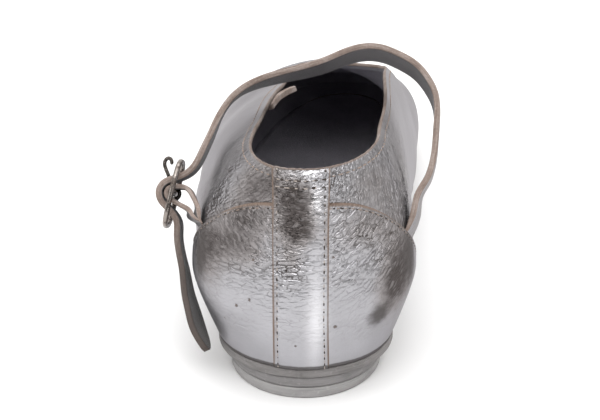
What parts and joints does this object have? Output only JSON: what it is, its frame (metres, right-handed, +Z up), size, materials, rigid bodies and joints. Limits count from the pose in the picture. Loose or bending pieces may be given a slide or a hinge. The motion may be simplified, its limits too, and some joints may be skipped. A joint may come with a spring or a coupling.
{
  "type": "ankle-strap flat shoe",
  "caption": "Left ankle-strap flat of worn metallic leather: hollow upper with heel panels and back strip, thin sole on a low stacked heel, and a strap fastened by an oval buckle with a prong.",
  "frame": {"origin": "on the floor under the middle of the shoe's box", "axes": "+Y towards the toe, +Z up, -X towards the lateral side with the buckle"},
  "size_m": [0.0874, 0.2472, 0.0919],
  "materials": {
    "silver_leather": "worn metallic foil",
    "sole_leather": "matte, scuffed",
    "heel_stack": "matte, scuffed",
    "sock_lining": "matte",
    "aged_steel": "dulled"
  },
  "bodies": {
    "root": {"outsole": "sole_leather", "heel_lift": "heel_stack", "heel_top_lift": "heel_stack", "upper": "silver_leather", "counter_lateral": "silver_leather", "counter_medial": "silver_leather", "back_strip": "silver_leather", "insole": "sock_lining", "ankle_strap": "silver_leather", "buckle_strap": "silver_leather", "buckle_frame": "aged_steel", "buckle_prong": "aged_steel"}
  },
  "joints": []
}
